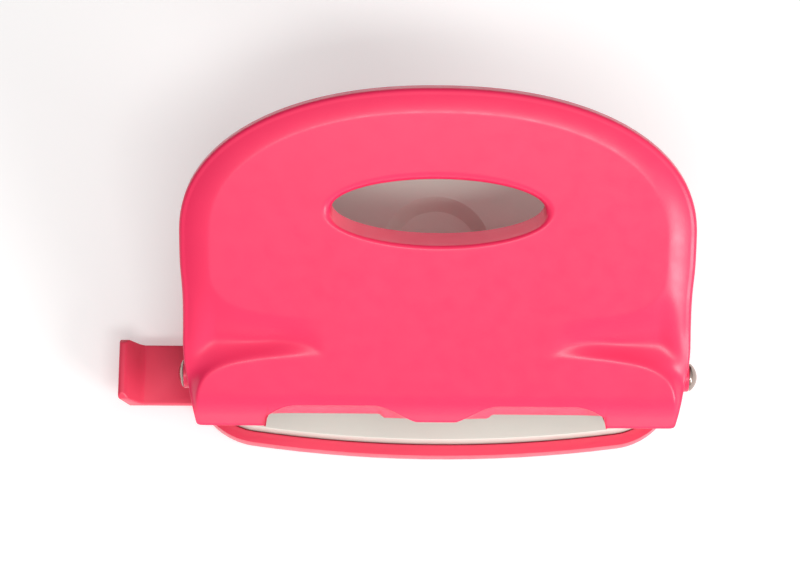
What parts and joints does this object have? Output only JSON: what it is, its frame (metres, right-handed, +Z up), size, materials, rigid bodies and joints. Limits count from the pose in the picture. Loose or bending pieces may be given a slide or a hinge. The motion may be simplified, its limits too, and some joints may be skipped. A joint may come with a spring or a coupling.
{
  "type": "two hole desk punch",
  "caption": "Desk hole punch for loose paper: a wide hinged handle with an oval grip hole drives sprung pins through a steel base, with sliding paper guide and chip tray.",
  "frame": {"origin": "on the table, at the middle of the underside of the non-slip pad, midway between the punch pins across the width and midway along the depth of the tray", "axes": "+X to the user's right along the axle, +Y towards the back, away from the paper side, +Z up"},
  "size_m": [0.1397, 0.078, 0.0681],
  "materials": {
    "handle_shell": "satin moulded, fine grain",
    "pink_plastic": "satin moulded",
    "plate_paint": "light grey powder coat, satin",
    "zinc_steel": "zinc plated, satin",
    "head_steel": "turned, bright",
    "pin_steel": "ground",
    "spring_steel": "drawn wire",
    "nylon": "natural nylon",
    "rubber": "matt"
  },
  "bodies": {
    "base": {"base_plate": "plate_paint", "bracket_left": "zinc_steel", "bracket_right": "zinc_steel", "bracket_rivets": "zinc_steel", "guide_channel": "zinc_steel", "pin_spring_left": "spring_steel", "pin_spring_right": "spring_steel"},
    "handle": {"handle_cover": "handle_shell", "lever_arm_left": "zinc_steel", "lever_arm_right": "zinc_steel", "lever_screws": "zinc_steel", "axle_pin": "head_steel", "axle_cap": "head_steel", "axle_spacers": "nylon"},
    "pin_left": {"punch_pin_left": "pin_steel", "pin_clip_left": "spring_steel", "pin_washer_left": "zinc_steel"},
    "pin_right": {"punch_pin_right": "pin_steel", "pin_clip_right": "spring_steel", "pin_washer_right": "zinc_steel"},
    "guide": {"paper_guide": "pink_plastic"},
    "tray": {"chip_tray": "pink_plastic", "tray_hinge_pins": "zinc_steel", "grip_pad": "rubber"}
  },
  "joints": [
    {"name": "handle_press", "type": "hinge", "parent": "base", "child": "handle", "pos_m": [0, -0.0235, 0.023], "axis": [-1, 0, 0], "range_deg": [0, 22], "stiffness_Nm_per_rad": 1.2, "springref_deg": -20.05},
    {"name": "pin_left_slide", "type": "slide", "parent": "base", "child": "pin_left", "axis": [0, 0, -1], "range_m": [0, 0.0059], "deforming": ["pin_spring_left"]},
    {"name": "pin_right_slide", "type": "slide", "parent": "base", "child": "pin_right", "axis": [0, 0, -1], "range_m": [0, 0.0059], "deforming": ["pin_spring_right"]},
    {"name": "guide_slide", "type": "slide", "parent": "base", "child": "guide", "axis": [-1, 0, 0], "range_m": [-0.014, 0.0715]},
    {"name": "tray_hinge", "type": "hinge", "parent": "base", "child": "tray", "pos_m": [0, 0.0376, 0.004], "axis": [1, 0, 0], "range_deg": [0, 40]}
  ],
  "couplings": [
    {"joint": "pin_left_slide", "follows": "handle_press", "m_per_rad": 0.015105},
    {"joint": "pin_right_slide", "follows": "handle_press", "m_per_rad": 0.015105}
  ]
}
